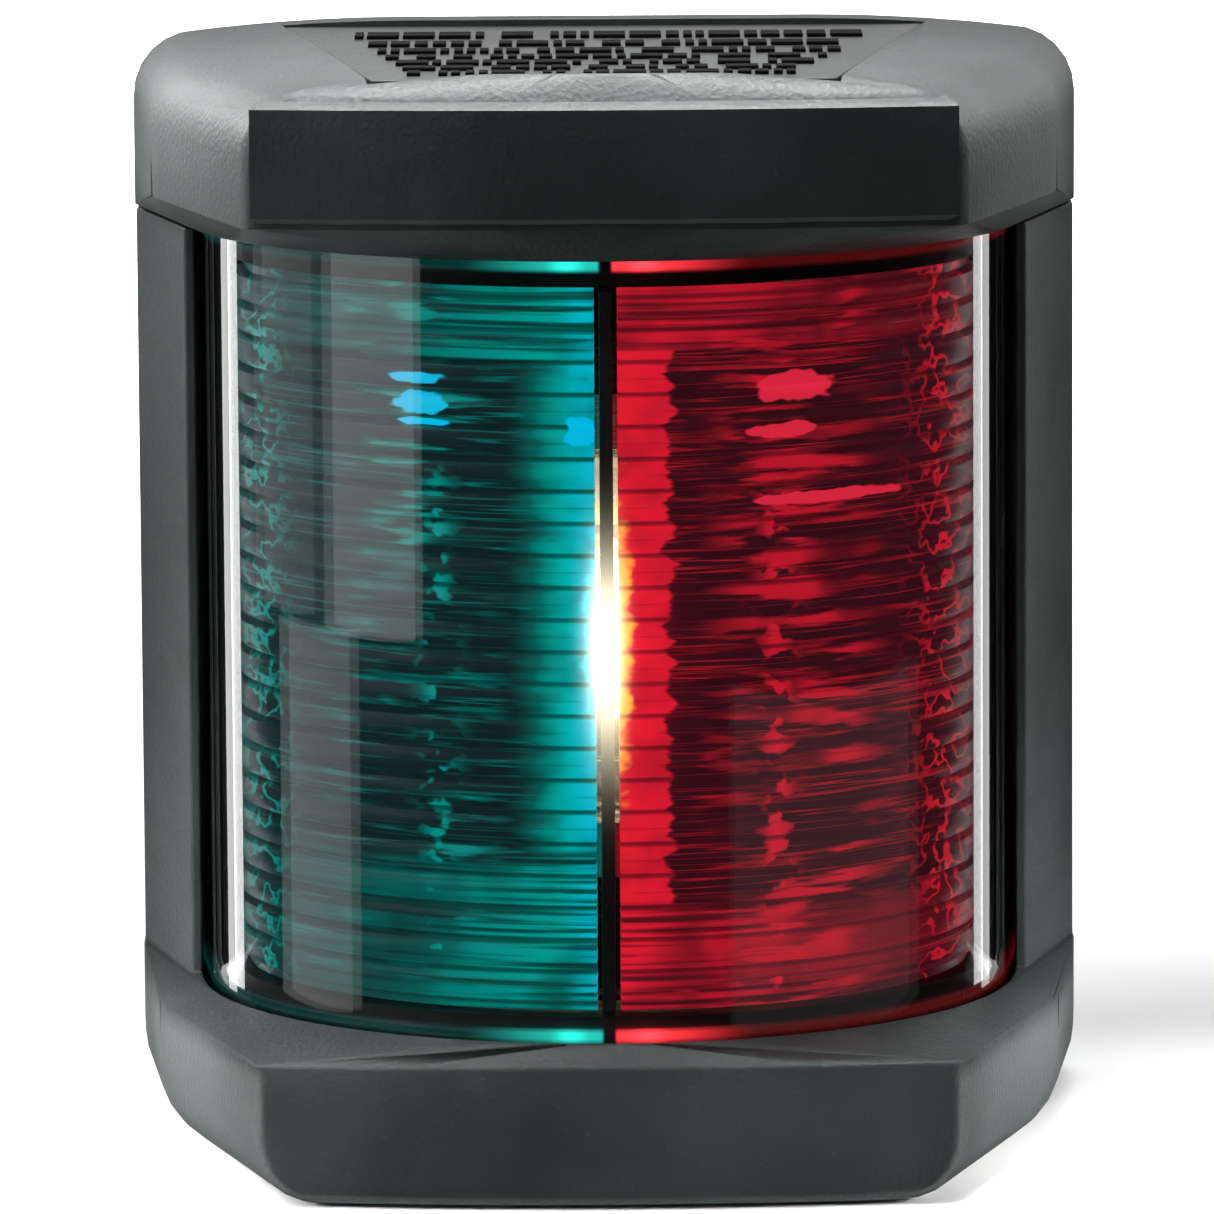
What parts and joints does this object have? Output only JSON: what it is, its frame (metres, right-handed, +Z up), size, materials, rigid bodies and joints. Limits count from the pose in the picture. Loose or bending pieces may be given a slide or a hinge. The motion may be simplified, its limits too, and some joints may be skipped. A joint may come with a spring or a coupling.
{
  "type": "navigation light",
  "caption": "Small boat's bow light: black cap and housing round a clear curved lens, with green and red filters either side of a divider, and an upright festoon bulb.",
  "frame": {"origin": "centre of the mounting face, which is the back of the foam gasket", "axes": "+Y out of the mounting face, into the wall behind; -Y forward, the way the light shines; +Z up; +X to the right as seen from ahead, where the red filter is"},
  "size_m": [0.0668, 0.0515, 0.076],
  "materials": {
    "housing_plastic": "fine spark-eroded grain, black, UV-stable plastic",
    "label_plastic": "satin black plastic with raised plain bars",
    "inner_plastic": "dark heat-resistant plastic",
    "rubber": "matte black rubber",
    "foam": "closed-cell foam",
    "clear_lens": "clear, polished polycarbonate",
    "green_filter": "transparent green, with level prism lines",
    "red_filter": "transparent red, with level prism lines",
    "stainless": "stainless steel",
    "brass": "spring brass",
    "nickel": "nickel-plated",
    "bulb_glass": "clear glass",
    "filament": "tungsten wire, lit"
  },
  "bodies": {
    "housing": {"wall_gasket": "foam", "housing": "housing_plastic", "cable_grommet": "rubber", "lens_seal": "rubber", "retaining_screw": "stainless", "screw_o_ring": "rubber", "bulb_carrier": "inner_plastic", "carrier_screw_left": "stainless", "carrier_screw_right": "stainless", "contact_upper": "brass", "contact_lower": "brass", "wire_clamp_upper": "stainless", "wire_clamp_lower": "stainless", "terminal_screw_upper": "stainless", "terminal_screw_lower": "stainless"},
    "lens_unit": {"top_cap": "housing_plastic", "rating_plate": "label_plastic", "cap_seal": "rubber", "clear_lens": "clear_lens", "filter_frame": "inner_plastic", "cap_screw_left": "stainless", "cap_screw_right": "stainless", "threaded_insert": "brass", "green_filter": "green_filter", "red_filter": "red_filter", "sector_divider": "inner_plastic"},
    "bulb": {"bulb_glass": "bulb_glass", "bulb_cap_upper": "nickel", "bulb_cap_lower": "nickel", "filament": "filament"}
  },
  "joints": [
    {"name": "lens_unit_lift", "type": "slide", "parent": "housing", "child": "lens_unit", "axis": [0, 0, 1], "range_m": [0, 0.064]},
    {"name": "bulb_pull", "type": "slide", "parent": "housing", "child": "bulb", "axis": [0, -1, 0], "range_m": [0, 0.008]}
  ]
}
